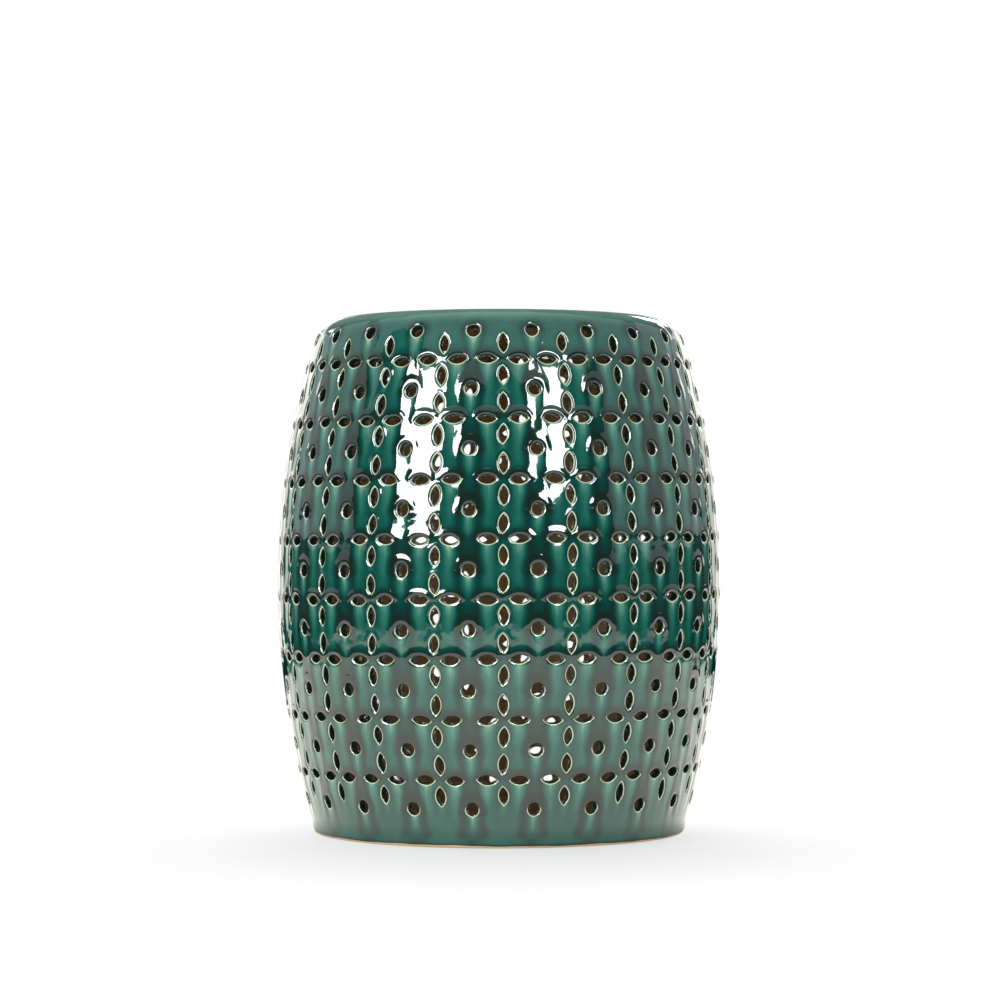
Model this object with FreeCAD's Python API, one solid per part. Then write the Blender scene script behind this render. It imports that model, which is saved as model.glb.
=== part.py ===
import FreeCAD, Part
import math
import os

os.makedirs("parts", exist_ok=True)

# Pierced ceramic garden stool, barrel shaped, in millimetres, +Z up.
# The origin lies on the floor, under the centre of the foot, and the front faces -Y.
# The body is built as a potter builds it: a pierced side wall with a gallery at its
# shoulder, a seat slab laid in the gallery, a foot ring under the wall, and a luting
# coil of clay pressed into the inside corner of each of the two joints.

# Outer form
seat_height = 460.0
belly_diameter = 398.0
belly_height = 223.0
side_arc_radius = 764.0
shoulder_radius = 30.0
wall_thickness = 9.0

# Seat slab and the gallery that carries it
seat_thickness = 10.0
seat_edge_round = 1.0
gallery_width = 10.0
gallery_thickness = 6.0
seat_ring_radius = 44.0
seat_ring_holes = 8

# Foot ring
foot_height = 14.0
foot_width = 20.0
foot_upstand = 5.0
foot_edge_round = 2.0

# Joints
slip_gap = 0.3
seat_coil_reach = 8.0
foot_coil_reach = 7.0
coil_press = 0.3

# Pierced pattern, cut with one leaf-shaped and one round cutter
petal_length = 15.6
petal_width = 7.2
flower_heart = 5.8
round_hole_diameter = 10.7
least_column_bridge = 8.0
row_bridge = 8.2
lowest_round_row = 33.0
top_plain_band = 18.0
pattern_turn = 1.1
front_azimuth = -90.0
cutter_overrun = 4.0
cutter_length = 50.0

belly_radius = belly_diameter / 2
AXIS = FreeCAD.Vector(0, 0, 1)
CENTRE = FreeCAD.Vector(0, 0, 0)

# The side is one arc, and the shoulder is a smaller arc that is tangent both to the
# side and to the flat seat.
side_centre_x = belly_radius - side_arc_radius
shoulder_centre_z = seat_height - shoulder_radius
centre_distance = side_arc_radius - shoulder_radius
centre_rise = shoulder_centre_z - belly_height
centre_run = math.sqrt(centre_distance ** 2 - centre_rise ** 2)
shoulder_centre_x = side_centre_x + centre_run


def tangent_height(depth):
    """Height where side and shoulder meet, at a depth below the outer face."""
    return belly_height + (side_arc_radius - depth) * centre_rise / centre_distance


def radius_at(height, depth):
    """Radius of the face that lies at a depth below the outer face."""
    if height <= tangent_height(depth):
        reach = side_arc_radius - depth
        return side_centre_x + math.sqrt(reach ** 2 - (height - belly_height) ** 2)
    reach = shoulder_radius - depth
    return shoulder_centre_x + math.sqrt(max(reach ** 2 - (height - shoulder_centre_z) ** 2, 0.0))


def section_point(radius, height):
    return FreeCAD.Vector(radius, 0, height)


def face_arc(low, high, depth):
    """Arc of the section between two heights on one side of the tangent height."""
    middle = (low + high) / 2
    points = [section_point(radius_at(height, depth), height) for height in (low, middle, high)]
    return Part.Arc(*points).toShape()


def face_arcs(low, high, depth):
    """Section edges of the wall face from one height up to another."""
    meeting = tangent_height(depth)
    if high <= meeting or low >= meeting:
        return [face_arc(low, high, depth)]
    return [face_arc(low, meeting, depth), face_arc(meeting, high, depth)]


def lines(points):
    """Straight section edges through a list of radius and height pairs."""
    spots = [section_point(*point) for point in points]
    return [Part.makeLine(start, end) for start, end in zip(spots, spots[1:])]


def turned(edges):
    """Solid of revolution from the edges of a closed section."""
    section = Part.Face(Part.Wire(Part.__sortEdges__(edges)))
    return section.revolve(CENTRE, AXIS, 360)


def leaf_cutter(length, width, depth):
    """Leaf-shaped bar along +X, its long axis on Y, its two sides single arcs."""
    tips = [FreeCAD.Vector(0, -length / 2, 0), FreeCAD.Vector(0, length / 2, 0)]
    crown = FreeCAD.Vector(0, 0, width / 2)
    upper = Part.Arc(tips[0], crown, tips[1]).toShape()
    lower = Part.Arc(tips[1], -crown, tips[0]).toShape()
    return Part.Face(Part.Wire([upper, lower])).extrude(FreeCAD.Vector(depth, 0, 0))


def round_cutter(diameter, depth):
    return Part.makeCylinder(diameter / 2, depth, CENTRE, FreeCAD.Vector(1, 0, 0))


def set_cutter(cutter, start, azimuth, height, roll=0.0):
    """Copy of a cutter, rolled on its own line and aimed outward at one place."""
    copy = cutter.copy()
    copy.rotate(CENTRE, FreeCAD.Vector(1, 0, 0), roll)
    copy.translate(FreeCAD.Vector(start, 0, height))
    copy.rotate(CENTRE, AXIS, azimuth)
    return copy


# Places of the pattern, from the sizes of the cutters and the clay left between cuts.
petal_offset = flower_heart + petal_length / 2
flower_span = 2 * (flower_heart + petal_length)
row_pitch = flower_span + row_bridge
flower_rows = int((seat_height - top_plain_band - lowest_round_row) / row_pitch)
flower_heights = [lowest_round_row + (row + 0.5) * row_pitch for row in range(flower_rows)]
round_heights = [lowest_round_row + row * row_pitch for row in range(flower_rows + 1)]
least_radius = min(radius_at(height, 0) for height in flower_heights)
columns = int(2 * math.pi * least_radius / (flower_span + least_column_bridge))
column_turn = 360.0 / columns
first_azimuth = front_azimuth + pattern_turn


def cutter_start(height, half_span):
    """Radius inside the wall where the cutters of one row begin."""
    ends = (height - half_span, height + half_span)
    return min(radius_at(end, wall_thickness) for end in ends) - cutter_overrun


def wall_cutters():
    """Every cutter of the side: flowers on the columns, round holes between them."""
    leaf = leaf_cutter(petal_length, petal_width, cutter_length)
    bar = round_cutter(round_hole_diameter, cutter_length)
    cutters = []
    for height in flower_heights:
        start = cutter_start(height, flower_span / 2)
        side_step = math.degrees(petal_offset / radius_at(height, 0))
        for column in range(columns):
            azimuth = first_azimuth + column * column_turn
            cutters.append(set_cutter(leaf, start, azimuth - side_step, height))
            cutters.append(set_cutter(leaf, start, azimuth + side_step, height))
            cutters.append(set_cutter(leaf, start, azimuth, height + petal_offset, 90))
            cutters.append(set_cutter(leaf, start, azimuth, height - petal_offset, 90))
    for height in round_heights:
        start = cutter_start(height, round_hole_diameter / 2)
        for column in range(columns):
            azimuth = first_azimuth + (column + 0.5) * column_turn
            cutters.append(set_cutter(bar, start, azimuth, height))
    return cutters


# Heights and radii shared by the pieces at the two joints.
seat_underside = seat_height - seat_thickness
gallery_underside = seat_underside - gallery_thickness
gallery_radius = shoulder_centre_x
gallery_inner_radius = gallery_radius - gallery_width
foot_inner_radius = radius_at(0, 0) - foot_width
upstand_top = foot_height + foot_upstand
upstand_radius = radius_at(foot_height, wall_thickness) - slip_gap


def pierced_wall():
    """Side wall from the foot joint to the gallery, with all its cuts."""
    outer = face_arcs(foot_height, seat_height, 0)
    gallery = lines([
        (gallery_radius, seat_height),
        (gallery_radius, seat_underside),
        (gallery_inner_radius, seat_underside),
        (gallery_inner_radius, gallery_underside),
        (radius_at(gallery_underside, wall_thickness), gallery_underside),
    ])
    inner = face_arcs(foot_height, gallery_underside, wall_thickness)
    joint = lines([
        (radius_at(foot_height, wall_thickness), foot_height),
        (radius_at(foot_height, 0), foot_height),
    ])
    blank = turned(outer + gallery + inner + joint)
    return blank.cut(wall_cutters())


def seat_slab():
    """Flat slab that lies in the gallery, with a drain flower and a ring of holes."""
    radius = gallery_radius - slip_gap
    slab = Part.makeCylinder(radius, seat_thickness, FreeCAD.Vector(0, 0, seat_underside))
    rim = [edge for edge in slab.Edges if edge.Closed and edge.CenterOfMass.z > seat_height - 1e-3]
    slab = slab.makeFillet(seat_edge_round, rim)
    depth = seat_thickness + 2 * cutter_overrun
    leaf = leaf_cutter(petal_length, petal_width, depth)
    bar = round_cutter(round_hole_diameter, depth)
    cutters = []
    for quarter in range(4):
        cutters.append(set_in_seat(leaf, petal_offset, 90.0 * quarter, 90))
    for hole in range(seat_ring_holes):
        turn = 360.0 / seat_ring_holes
        cutters.append(set_in_seat(bar, seat_ring_radius, (hole + 0.5) * turn))
    return slab.cut(cutters)


def set_in_seat(cutter, reach, azimuth, roll=0.0):
    """Copy of a cutter stood upright through the seat, at a reach from its centre."""
    copy = cutter.copy()
    copy.rotate(CENTRE, FreeCAD.Vector(0, 1, 0), -90)
    copy.rotate(CENTRE, AXIS, roll)
    copy.translate(FreeCAD.Vector(reach, 0, seat_underside - cutter_overrun))
    copy.rotate(CENTRE, AXIS, azimuth)
    return copy


def foot_ring():
    """Thick unglazed ring that the stool stands on, with an upstand inside the wall."""
    outer = face_arcs(0, foot_height, 0)
    rest = lines([
        (radius_at(foot_height, 0), foot_height),
        (upstand_radius, foot_height),
        (upstand_radius, upstand_top),
        (foot_inner_radius, upstand_top),
        (foot_inner_radius, 0),
        (radius_at(0, 0), 0),
    ])
    ring = turned(outer + rest)
    sole = [edge for edge in ring.Edges if edge.Closed and abs(edge.BoundBox.ZMax) < 1e-3]
    return ring.makeFillet(foot_edge_round, sole)


def coil_face(first, last, corner):
    """Hollow face of a coil, as a finger leaves it, pressed in towards its corner."""
    start = section_point(*first)
    end = section_point(*last)
    chord_middle = (start + end) / 2
    pressed = chord_middle + (section_point(*corner) - chord_middle) * coil_press
    return Part.Arc(start, pressed, end).toShape()


def seat_luting_coil():
    """Coil pressed under the slab, round the inner edge of the gallery."""
    outer = gallery_inner_radius - slip_gap
    inner = outer - seat_coil_reach
    face = coil_face((outer, gallery_underside), (inner, seat_underside), (outer, seat_underside))
    edges = lines([(inner, seat_underside), (outer, seat_underside), (outer, gallery_underside)])
    return turned(edges + [face])


def foot_luting_coil():
    """Coil pressed into the corner between the wall and the top of the upstand."""
    depth = wall_thickness + slip_gap
    top = upstand_top + foot_coil_reach
    outer_low = radius_at(upstand_top, depth)
    outer_top = radius_at(top, depth)
    inner = outer_low - foot_coil_reach
    face = coil_face((outer_top, top), (inner, upstand_top), (outer_low, upstand_top))
    edges = lines([(inner, upstand_top), (outer_low, upstand_top)])
    return turned(edges + [face_arc(upstand_top, top, depth), face])


pieces = {
    "pierced_wall": pierced_wall(),
    "seat_slab": seat_slab(),
    "foot_ring": foot_ring(),
    "seat_luting_coil": seat_luting_coil(),
    "foot_luting_coil": foot_luting_coil(),
}

for name, shape in pieces.items():
    solid = shape.Solids[0] if len(shape.Solids) == 1 else shape
    solid.exportStep(f"parts/{name}.step")
    print(name, "solids", len(shape.Solids), "volume", round(shape.Volume), "valid", shape.isValid())
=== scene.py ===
import math

import bmesh
import bpy
import numpy as np
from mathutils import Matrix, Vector
from mathutils.geometry import delaunay_2d_cdt


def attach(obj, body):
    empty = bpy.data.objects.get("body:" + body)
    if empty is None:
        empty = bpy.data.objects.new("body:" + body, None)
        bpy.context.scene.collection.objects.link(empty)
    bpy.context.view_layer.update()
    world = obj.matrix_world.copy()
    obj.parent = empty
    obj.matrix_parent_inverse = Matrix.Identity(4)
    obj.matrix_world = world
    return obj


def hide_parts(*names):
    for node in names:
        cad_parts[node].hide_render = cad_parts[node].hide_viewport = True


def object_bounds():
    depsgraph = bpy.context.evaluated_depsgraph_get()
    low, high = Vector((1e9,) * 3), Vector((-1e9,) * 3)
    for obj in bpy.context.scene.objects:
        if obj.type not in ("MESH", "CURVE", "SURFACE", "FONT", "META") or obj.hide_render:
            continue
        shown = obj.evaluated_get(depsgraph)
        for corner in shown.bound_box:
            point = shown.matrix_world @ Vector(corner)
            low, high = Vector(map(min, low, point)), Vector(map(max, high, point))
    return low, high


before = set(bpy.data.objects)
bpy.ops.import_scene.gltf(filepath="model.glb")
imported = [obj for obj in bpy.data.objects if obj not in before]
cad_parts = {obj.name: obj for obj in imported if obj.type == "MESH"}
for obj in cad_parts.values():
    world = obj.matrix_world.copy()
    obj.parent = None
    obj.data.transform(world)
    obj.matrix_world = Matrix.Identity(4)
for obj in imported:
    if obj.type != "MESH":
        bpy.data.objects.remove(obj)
cad_low, cad_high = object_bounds()

MM = 0.001

# Outer form of the pot: one side arc, a tangent shoulder arc and a flat seat.
SEAT_HEIGHT = cad_high[2]
BELLY_RADIUS = (cad_high[0] - cad_low[0]) / 2
BELLY_HEIGHT = 223 * MM
SIDE_ARC = 764 * MM
SHOULDER_ARC = 30 * MM
WALL = 9 * MM

# The pieces that close the drum, and the clay pressed into their joints.
SEAT_THICKNESS = 10 * MM
SEAT_JOINT = 0.06 * MM
GALLERY_WIDTH = 10 * MM
GALLERY_THICKNESS = 6 * MM
FOOT_HEIGHT = 14 * MM
FOOT_WIDTH = 20 * MM
FOOT_UPSTAND = 5 * MM
FOOT_ROUND = 2 * MM
SLIP_GAP = 0.3 * MM
SEAT_COIL = 8 * MM
FOOT_COIL = 7 * MM
GLAZE_LINE = 1.8 * MM

SIDE_X = BELLY_RADIUS - SIDE_ARC
SHOULDER_Z = SEAT_HEIGHT - SHOULDER_ARC
SHOULDER_TILT = math.asin((SHOULDER_Z - BELLY_HEIGHT) / (SIDE_ARC - SHOULDER_ARC))
SHOULDER_X = SIDE_X + (SIDE_ARC - SHOULDER_ARC) * math.cos(SHOULDER_TILT)
SHOULDER_RUN = BELLY_HEIGHT + SIDE_ARC * math.sin(SHOULDER_TILT)
CROWN_RUN = SHOULDER_RUN + SHOULDER_ARC * (math.pi / 2 - SHOULDER_TILT)

# Pierced pattern, laid out flat: along the belly, and up the wall.
COLUMNS = 21
ROWS = 8
COLUMN_PITCH = 2 * math.pi * BELLY_RADIUS / COLUMNS
ROW_PITCH = 51 * MM
LOWEST_ROUND = 33 * MM
LOWEST_FLOWER = LOWEST_ROUND + ROW_PITCH / 2
TOP_ROUND = LOWEST_ROUND + ROWS * ROW_PITCH
PETAL_LENGTH = 15.6 * MM
PETAL_WIDTH = 7.2 * MM
FLOWER_HEART = 5.8 * MM
PETAL_OFFSET = FLOWER_HEART + PETAL_LENGTH / 2
ROUND_RADIUS = 5.35 * MM
SEAT_RING_RADIUS = 44 * MM
SEAT_RING_HOLES = 8
FRONT = math.radians(-90 + 1.1)

# A petal is the overlap of two discs.
LEAF_DISC = (PETAL_LENGTH ** 2 + PETAL_WIDTH ** 2) / (4 * PETAL_WIDTH)
LEAF_SHIFT = LEAF_DISC - PETAL_WIDTH / 2

# Section of a cut edge in mm: distance out from the cut, depth below the face, and the
# share of the glaze relief. The lip is rounded, and the cut then goes straight in.
LIP = [
    (3.0, 0.0, 1.0),
    (2.0, 0.05, 1.0),
    (1.15, 0.22, 0.8),
    (0.55, 0.55, 0.5),
    (0.15, 1.05, 0.2),
    (0.0, 1.8, 0.0),
]
INNER_LIP_DEPTH = 0.6
INNER_LIP_REACH = 0.5
TIP_REACH = 1.12
RELIEF = 0.7 * MM

# Fineness of the meshes.
PETAL_STEPS = 20
ROUND_STEPS = 18
OUTER_SPACING = 2.3 * MM
INNER_SPACING = 4.2 * MM
LEAST_SPACING = 0.62
SEAT_STEPS = 360
FOOT_STEPS = 24 * COLUMNS
COIL_STEPS = 360
GALLERY_STEPS = 180
WELD = 0.02 * MM
SAME_SPOT = 0.05 * MM
CREASE = math.radians(48)

# The wall is kept as three pieces of seven columns each.
SECTORS = 3


def sign(operation, swapped=False):
    """An arithmetic sign between a field and another value, as a node."""

    def apply(field, other):
        pair = (other, field) if swapped else (field, other)
        return field.wires.math(operation, *pair)

    return apply


class Field:
    """A number that varies over a surface, held by one output of a node tree."""

    __add__ = __radd__ = sign("ADD")
    __sub__ = sign("SUBTRACT")
    __rsub__ = sign("SUBTRACT", swapped=True)
    __mul__ = __rmul__ = sign("MULTIPLY")
    __truediv__ = sign("DIVIDE")
    __rtruediv__ = sign("DIVIDE", swapped=True)

    def __init__(self, wires, socket):
        self.wires = wires
        self.socket = socket

    def __neg__(self):
        return self * -1.0

    def __abs__(self):
        return self.wires.math("ABSOLUTE", self)

    def clamp(self, low, high):
        return self.wires.math("MINIMUM", self.wires.math("MAXIMUM", self, low), high)

    def rise(self, low, high):
        """Rises gently from 0 at low to 1 at high."""
        ends = {"Value": self, "From Min": low, "From Max": high}
        made = self.wires.node("ShaderNodeMapRange", ends, interpolation_type="SMOOTHSTEP")
        return Field(self.wires, made.outputs["Result"])

    def fall(self, low, high):
        """Falls gently from 1 at low to 0 at high."""
        return 1.0 - self.rise(low, high)

    def bell(self, width):
        """A bell curve of height 1 about zero."""
        ratio = self / width
        return self.wires.math("EXPONENT", -(ratio * ratio))

    def fade(self, length):
        """Is 1 up to zero, then dies away, ever more slowly."""
        return self.wires.math("EXPONENT", -(self.wires.math("MAXIMUM", self, 0.0) / length))


class Wires:
    """Adds nodes to one tree, for a surface's shape or for its finish."""

    def __init__(self, tree):
        self.tree = tree

    def node(self, kind, inputs=(), **settings):
        made = self.tree.nodes.new(kind)
        for name, value in settings.items():
            setattr(made, name, value)
        for key, value in dict(inputs).items():
            self.join(made.inputs[key], value)
        return made

    def join(self, socket, value):
        """Feeds a socket from a field, a socket or a node's first output, or sets it."""
        if isinstance(value, Field):
            value = value.socket
        if isinstance(value, bpy.types.Node):
            value = value.outputs[0]
        if isinstance(value, bpy.types.NodeSocket):
            self.tree.links.new(value, socket)
        else:
            socket.default_value = value

    def math(self, operation, *values):
        made = self.node("ShaderNodeMath", dict(enumerate(values)), operation=operation)
        return Field(self, made.outputs[0])

    def length(self, x, y):
        return self.math("SQRT", x * x + y * y)

    def split(self, vector):
        made = self.node("ShaderNodeSeparateXYZ", {0: vector})
        return [Field(self, output) for output in made.outputs]

    def vector(self, x, y, z):
        return self.node("ShaderNodeCombineXYZ", {0: x, 1: y, 2: z}).outputs[0]

    def noise(self, vector, scale, detail=2.0, roughness=0.5):
        """Smooth noise about zero, from -0.5 to 0.5."""
        sizes = {"Vector": vector, "Scale": scale, "Detail": detail, "Roughness": roughness}
        made = self.node("ShaderNodeTexNoise", sizes, noise_dimensions="3D")
        return Field(self, made.outputs[0]) - 0.5


# Recipe of the glaze. Its lengths are in mm, and its thickness runs from 0 to 1.
EVEN_GLAZE = 0.52
LEAST_GLAZE = 0.12
GLAZE_LIP = (0.95, 1.6)


def leaf_gap(wires, along, across):
    """Distance in mm outside a petal, from its middle, along and across it."""
    return wires.length(along, abs(across) + LEAF_SHIFT / MM) - LEAF_DISC / MM


def below_row(wires, height, rows):
    """Distance in mm below the nearest row that lies above, negative over the last row."""
    pitch = ROW_PITCH / MM
    return wires.math("CEIL", height / pitch).clamp(0.0, rows - 1.0) * pitch - height


class Spot:
    """Where a spot of the wall lies among the cuts nearest to it, in mm.

    pattern is its place in the flat layout, and place the same spot on the pot, which
    the noise reads.
    """

    def __init__(self, wires, pattern, place):
        self.x, self.y = (part / MM for part in wires.split(pattern)[:2])
        column_pitch = COLUMN_PITCH / MM
        row_pitch = ROW_PITCH / MM
        up_flower = self.y - LOWEST_FLOWER / MM
        up_round = self.y - LOWEST_ROUND / MM
        column = wires.math("ROUND", self.x / column_pitch)
        row = wires.math("ROUND", up_flower / row_pitch).clamp(0.0, ROWS - 1.0)
        self.flower_x = self.x - column * column_pitch
        self.flower_y = up_flower - row * row_pitch
        side = wires.math("ROUND", (self.x - column_pitch / 2) / column_pitch)
        level = wires.math("ROUND", up_round / row_pitch).clamp(0.0, float(ROWS))
        self.round_x = self.x - column_pitch / 2 - side * column_pitch
        self.round_y = up_round - level * row_pitch

        petal = PETAL_OFFSET / MM
        self.across_gap = leaf_gap(wires, abs(self.flower_x) - petal, self.flower_y)
        self.upright_gap = leaf_gap(wires, abs(self.flower_y) - petal, self.flower_x)
        self.round_gap = wires.length(self.round_x, self.round_y) - ROUND_RADIUS / MM

        self.sway = wires.noise(place, 30.0, 1.0) * 5.0
        self.flow = wires.noise(place, 75.0, 2.0)
        self.cloud = wires.noise(place, 14.0, 2.0)
        self.to_foot = self.y.fall(26.0, 56.0)
        self.below_flower = below_row(wires, up_flower, ROWS) + self.flow * 4.0
        self.below_round = below_row(wires, up_round, ROWS + 1) + self.flow * 3.0
        self.petal_stray = abs(self.flower_x) - petal + self.sway * 0.4
        self.round_stray = self.round_x + self.sway * (0.35 + self.to_foot * 0.8)


def pale_runs(wires, at):
    """Thin pale runs under the cuts, streaked as they ran. They end over the foot."""
    streak = wires.noise(wires.vector(at.x, at.y * 0.09, 0.0), 0.42, 1.0) * 0.3
    petal_run = at.petal_stray.bell(wires.math("MAXIMUM", 5.9 - at.below_flower * 0.05, 3.8))
    petal_run = petal_run * at.below_flower.rise(1.0, 4.5) * (at.below_flower - 4.0).fade(17.0)
    round_run = at.round_stray.bell(wires.math("MAXIMUM", 4.4 - at.below_round * 0.06, 2.2))
    round_run = round_run * at.below_round.rise(3.0, 6.5) * (at.below_round - 6.0).fade(12.0)
    stem_run = (at.flower_x + at.sway * 0.3).bell(3.0)
    stem_run = stem_run * at.below_flower.rise(19.0, 22.0) * (at.below_flower - 21.0).fade(6.0)
    thin = petal_run * (0.40 + streak) + round_run * (0.42 + streak) + stem_run * 0.22
    return thin * (at.y + at.flow * 2.0).rise(9.0, 20.0)


def dark_rolls(at):
    """Dark rolls that hang over the cuts, run down beside them and pool above the next."""
    across_roll = (at.across_gap - 2.0).bell(1.6) + (at.across_gap - 4.0).bell(3.4) * 0.5
    across_roll = across_roll * at.flower_y.rise(-3.5, 3.5)
    upright_roll = (at.upright_gap - 1.8).bell(1.6) * at.flower_y.rise(-40.0, 20.0)
    round_roll = (at.round_gap - 2.1).bell(2.1) + (at.round_gap - 5.0).bell(3.8) * 0.7
    round_roll = round_roll * at.round_y.rise(-8.0, 2.0)
    leg_x = abs(at.round_stray) - 9.3 - at.y.fall(14.0, 30.0) * 1.8
    leg_x = leg_x + at.below_round * 0.04 * (1 - at.to_foot)
    round_legs = leg_x.bell(3.5 + at.to_foot * 1.6)
    round_legs = round_legs * at.below_round.rise(-6.0, 4.0) * at.below_round.fall(16.0, 46.0)
    round_legs = round_legs * (1 + at.to_foot * 0.45) * (at.y + at.flow * 2.0).rise(6.0, 12.0)
    petal_legs = (abs(at.petal_stray) - 9.0).bell(2.8)
    petal_legs = petal_legs * at.below_flower.rise(-1.0, 6.0) * at.below_flower.fall(8.0, 40.0)
    pooled = at.round_stray.bell(10.5)
    pooled = pooled * at.below_round.rise(14.0, 34.0) * at.below_round.fall(40.0, 50.0)
    dark = across_roll * 0.46 + upright_roll * 0.20 + round_roll * 0.42
    return dark + round_legs * 0.24 + petal_legs * 0.14 + pooled * 0.24


def glaze_thickness(wires, at):
    """Thickness of the glaze: drawn back from every lip, even and thin on the shoulder."""
    upper = at.y.rise((TOP_ROUND - 34 * MM) / MM, (TOP_ROUND - 8 * MM) / MM)
    crown = at.y.rise((SHOULDER_RUN + 8 * MM) / MM, (SHOULDER_RUN + 22 * MM) / MM)
    uneven = dark_rolls(at) * (1 - upper * 0.5) - pale_runs(wires, at)
    thick = EVEN_GLAZE + uneven * (1 - crown) + at.flow * 0.16 + at.cloud * 0.16 - upper * 0.05
    thick = thick + at.y.fall(2.4, 4.4) * 0.28 - crown * 0.24 - at.y.fall(7.0, 14.0) * 0.04
    hood = at.flower_y.rise(-0.5, 2.5) * at.across_gap.fall(2.0, 4.0)
    hood = hood + at.round_y.rise(-1.0, 4.5) * at.round_gap.fall(2.0, 4.0)
    gap = wires.math("MINIMUM", at.across_gap, at.upright_gap)
    gap = wires.math("MINIMUM", gap, at.round_gap)
    return thick.clamp(LEAST_GLAZE, 1.0) * (gap + at.flow * 0.6 + hood * 0.8).rise(*GLAZE_LIP)


def raised_collar(wires, at):
    """Soft ridge of glaze over each cut, 0 to 1, lower in the rows near the foot."""
    across = at.across_gap.rise(0.6, 3.2) * at.across_gap.fall(3.2, 8.2) * at.flower_y.rise(-2.0, 4.0)
    about = at.round_gap.rise(0.6, 3.4) * at.round_gap.fall(3.4, 8.8) * at.round_y.rise(-2.0, 5.0)
    up_petal = at.flower_y - wires.math("SIGN", at.flower_y) * (PETAL_OFFSET / MM)
    upright = at.upright_gap.fall(1.8, 5.4) * up_petal.rise(-4.0, 6.0) * 0.4
    collar = wires.math("MAXIMUM", wires.math("MAXIMUM", across, about), upright)
    return collar * (0.3 + at.y.rise(147.0, 158.0) * 0.7)


def side_radius(height, depth=0.0):
    """Radius of the side at a height, at a depth below the outer face."""
    return SIDE_X + math.sqrt((SIDE_ARC - depth) ** 2 - (height - BELLY_HEIGHT) ** 2)


# Tiles of the pattern. A flower tile swells where a round tile is narrow, so that every
# cut lies whole inside one tile and the tiles meet edge to edge.
TILE_SWING = 6.2 * MM
ROUND_TILE = 7.5 * MM
TILE_STEPS = 24

# How far round a cut the clay follows it, and the bands along a tile's edges that hold
# still, and that let go of the cuts' true size.
CUT_REACH = 7.5 * MM
STILL_EDGE = 4.2 * MM
SIZE_EDGE = 6.5 * MM


def round_half_width(y):
    return ROUND_TILE + TILE_SWING * math.cos(2 * math.pi * y / ROW_PITCH)


def flower_half_width(y):
    return COLUMN_PITCH / 2 - ROUND_TILE + TILE_SWING * math.cos(2 * math.pi * y / ROW_PITCH)


def levels(low, high):
    """Heights from low to high, about one tile step apart."""
    steps = max(1, round((high - low) / (ROW_PITCH / TILE_STEPS)))
    return [low + (high - low) * step / steps for step in range(steps + 1)]


def steps_across(half):
    return max(1, round(2 * half / OUTER_SPACING))


def tile_outline(half_width, heights):
    """Closed outline of a tile, turning left."""
    ends = []
    for height, turn in ((heights[0], 1), (heights[-1], -1)):
        half = half_width(height)
        steps = steps_across(half)
        ends.append([(turn * half * (2 * step / steps - 1), height) for step in range(steps)])
    right = [(half_width(y), y) for y in heights[:-1]]
    left = [(-half_width(y), y) for y in reversed(heights[1:])]
    return ends[0] + right + ends[1] + left


def leaf_outline(upright):
    """Points round a petal and the directions straight out from them."""
    half_angle = math.asin(PETAL_LENGTH / 2 / LEAF_DISC)
    steps = PETAL_STEPS // 2
    points = []
    for flip in (1, -1):
        for step in range(steps):
            angle = half_angle * (1 - 2 * step / steps)
            out = (math.sin(angle), math.cos(angle))
            spot = (out[0] * LEAF_DISC, out[1] * LEAF_DISC - LEAF_SHIFT)
            if step == 0:
                out = (TIP_REACH, 0.0)
            points.append((flip * spot[0], flip * spot[1], flip * out[0], flip * out[1]))
    if upright:
        points = [(-y, x, -out_y, out_x) for x, y, out_x, out_y in points]
    return np.array(points)


def round_outline():
    turns = np.arange(ROUND_STEPS) * 2 * math.pi / ROUND_STEPS
    out = np.stack([np.cos(turns), np.sin(turns)], axis=1)
    return np.concatenate([out * ROUND_RADIUS, out], axis=1)


def inside(loop, points):
    """Which points lie inside a closed loop."""
    found = np.zeros(len(points), bool)
    for (ax, ay), (bx, by) in zip(loop, np.roll(loop, -1, axis=0)):
        crosses = (ay > points[:, 1]) != (by > points[:, 1])
        step = (points[:, 1] - ay) / (by - ay if by != ay else 1.0)
        found ^= crosses & (points[:, 0] < ax + step * (bx - ax))
    return found


def between(outline, loops, points):
    """Which points lie inside the outline and outside all the loops."""
    found = inside(outline, points)
    for loop in loops:
        found &= ~inside(loop, points)
    return found


def nearest_distance(points, loop):
    return np.sqrt(((points[:, None] - loop[None]) ** 2).sum(axis=2)).min(axis=1)


def filled(outline, loops, spacing):
    """Points and triangles of the flat sheet inside an outline and outside some loops."""
    borders = [outline] + loops
    fixed = np.concatenate(borders)
    edges = []
    start = 0
    for border in borders:
        count = len(border)
        edges += [(start + step, start + (step + 1) % count) for step in range(count)]
        start += count
    low, high = outline.min(axis=0), outline.max(axis=0)
    rise = spacing * math.sqrt(3) / 2
    rows = np.arange(low[1], high[1] + rise, rise)
    grid = np.array([(x + (row % 2) * spacing / 2, y) for row, y in enumerate(rows)
                     for x in np.arange(low[0], high[0] + spacing, spacing)])
    grid = grid[between(outline, loops, grid)]
    grid = grid[nearest_distance(grid, fixed) > LEAST_SPACING * spacing]
    spots = [Vector(spot) for spot in np.concatenate([fixed, grid])]
    result = delaunay_2d_cdt(spots, edges, [], 0, 1e-9)
    points = np.array([tuple(spot) for spot in result[0]])
    triangles = np.array(list(result[2]))
    triangles = triangles[between(outline, loops, points[triangles].mean(axis=1))]
    a, b, c = (points[triangles[:, corner]] for corner in range(3))
    area = (b[:, 0] - a[:, 0]) * (c[:, 1] - a[:, 1]) - (b[:, 1] - a[:, 1]) * (c[:, 0] - a[:, 0])
    triangles[area < 0] = triangles[area < 0][:, ::-1]
    return points, triangles


def eased(value):
    value = np.clip(value, 0.0, 1.0)
    return value * value * (3 - 2 * value)


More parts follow.
